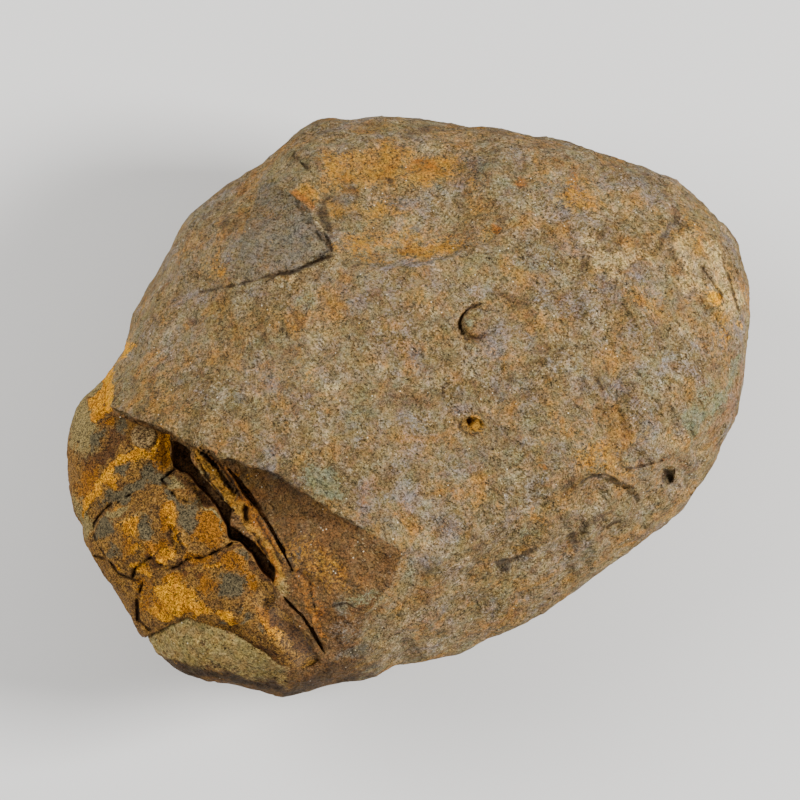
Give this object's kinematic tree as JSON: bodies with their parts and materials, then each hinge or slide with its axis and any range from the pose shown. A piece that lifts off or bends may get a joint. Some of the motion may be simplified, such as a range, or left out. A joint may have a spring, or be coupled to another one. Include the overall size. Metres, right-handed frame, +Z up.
{
  "type": "fossil trilobite in a nodule",
  "caption": "Rounded brown sandstone nodule whose broken corner shows the head of a fossil trilobite in rust, ochre and slate plates.",
  "frame": {"origin": "centre of the whole part's extents in X and Y, at the flat foot it rests on", "axes": "+Z up from the flat foot; +X along the stone's longest extent, away from the fossil's corner; -Y towards the low edge of the tilted show face"},
  "size_m": [0.0714, 0.062, 0.0359],
  "materials": {
    "sandstone": "rough, fine-grained, matt",
    "fossil": "iron-stained, matt with smoother plates"
  },
  "bodies": {
    "root": {"nodule": "sandstone", "trilobite": "fossil"}
  },
  "joints": []
}
